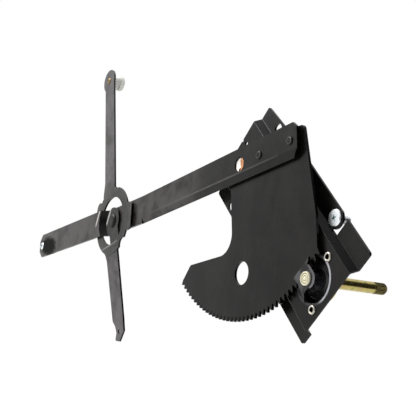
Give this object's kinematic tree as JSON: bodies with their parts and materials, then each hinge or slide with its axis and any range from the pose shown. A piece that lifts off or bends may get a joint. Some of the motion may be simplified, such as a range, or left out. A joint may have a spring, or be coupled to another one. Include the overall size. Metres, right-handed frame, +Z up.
{
  "type": "window regulator",
  "caption": "Manual vehicle window regulator: geared sector on a stamped backplate swings a lift arm, crossed by an equalizer arm with nylon rollers.",
  "frame": {"origin": "centre of the upper mounting hole, on the backplate's rear mounting face", "axes": "+Y points out of the back, along the crank shaft towards the handle; +X points away from the lift roller, +Z up"},
  "size_m": [0.6907, 0.1068, 0.3606],
  "materials": {
    "black_paint": "satin",
    "zinc_plate": "plated",
    "yellow_zinc": "chromated",
    "copper_plate": "plated",
    "nylon": "satin",
    "spring_steel": "oiled"
  },
  "bodies": {
    "frame": {"backplate": "black_paint", "mounting_studs": "zinc_plate", "crank_housing": "yellow_zinc", "housing_rivets": "zinc_plate", "pinion_bearing": "nylon", "pivot_bush": "copper_plate", "spring_anchor": "zinc_plate", "counterbalance_spring": "spring_steel"},
    "sector_arm": {"sector_plate": "black_paint", "lift_arm": "black_paint", "arm_rivets": "black_paint", "pivot_arbor": "zinc_plate", "lift_roller_stud": "zinc_plate"},
    "lift_roller": {"lift_roller": "nylon"},
    "crank": {"crank_shaft": "yellow_zinc", "driver_core": "spring_steel", "brake_spring": "spring_steel", "driven_plate": "spring_steel", "pinion": "spring_steel"},
    "equalizer": {"equalizer_arm": "black_paint", "equalizer_rivet": "black_paint", "equalizer_washer": "zinc_plate", "equalizer_roller_stud": "copper_plate"},
    "equalizer_roller": {"equalizer_roller": "nylon"}
  },
  "joints": [
    {"name": "sector_swing", "type": "hinge", "parent": "frame", "child": "sector_arm", "pos_m": [-0.03372, -0.0147, -0.0376], "axis": [0, -1, 0], "range_deg": [-5, 78], "deforming": ["counterbalance_spring"]},
    {"name": "crank_turn", "type": "hinge", "parent": "frame", "child": "crank", "pos_m": [0.08975, -0.0147, -0.14399], "axis": [0, -1, 0], "range_deg": [-1640, 106]},
    {"name": "equalizer_pivot", "type": "hinge", "parent": "sector_arm", "child": "equalizer", "pos_m": [-0.30674, -0.0227, -0.09928], "axis": [0, -1, 0], "range_deg": [-30, 40]},
    {"name": "lift_roller_spin", "type": "hinge", "parent": "sector_arm", "child": "lift_roller", "pos_m": [-0.53172, -0.01245, -0.142], "axis": [0, -1, 0], "continuous": true},
    {"name": "equalizer_roller_spin", "type": "hinge", "parent": "equalizer", "child": "equalizer_roller", "pos_m": [-0.37839, -0.00805, 0.09545], "axis": [0, -1, 0], "continuous": true}
  ],
  "couplings": [
    {"joint": "crank_turn", "follows": "sector_swing", "ratio": -21}
  ]
}
